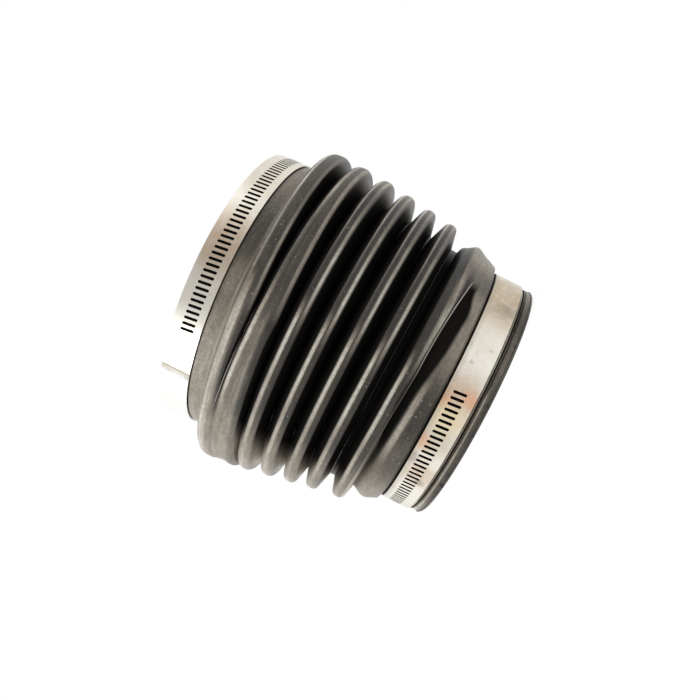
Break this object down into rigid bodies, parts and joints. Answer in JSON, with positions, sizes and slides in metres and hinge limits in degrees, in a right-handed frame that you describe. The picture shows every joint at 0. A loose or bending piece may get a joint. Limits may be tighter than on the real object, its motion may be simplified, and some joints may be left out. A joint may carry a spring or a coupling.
{
  "type": "rubber bellows boot",
  "caption": "Tapered rubber bellows boot with deep folds and two cuffs, each cuff held by a slotted steel worm-drive clamp.",
  "frame": {"origin": "middle of the small end's face, on the small bore's axis", "axes": "+Z from the small end towards the large end, +X the way the folds' wider side faces (their planes lean in XZ), -Y the side where the bands' slots show"},
  "size_m": [0.1526, 0.1528, 0.13],
  "materials": {
    "boot_rubber": "satin moulded rubber",
    "band_steel": "bright rolled stainless strip",
    "housing_steel": "pressed stainless sheet",
    "screw_steel": "machined stainless"
  },
  "bodies": {
    "boot": {"bellows_boot": "boot_rubber", "large_clamp_band": "band_steel", "large_clamp_housing": "housing_steel", "small_clamp_band": "band_steel", "small_clamp_housing": "housing_steel"},
    "large_screw": {"large_clamp_screw": "screw_steel"},
    "small_screw": {"small_clamp_screw": "screw_steel"}
  },
  "joints": [
    {"name": "large_screw_turn", "type": "hinge", "parent": "boot", "child": "large_screw", "pos_m": [0.01581, 0.06819, 0.12164], "axis": [-0.965, 0.2588, -0.0413], "continuous": true},
    {"name": "small_screw_turn", "type": "hinge", "parent": "boot", "child": "small_screw", "pos_m": [-0.01618, 0.06037, 0.01235], "axis": [0.9659, 0.2588, 0], "continuous": true}
  ]
}
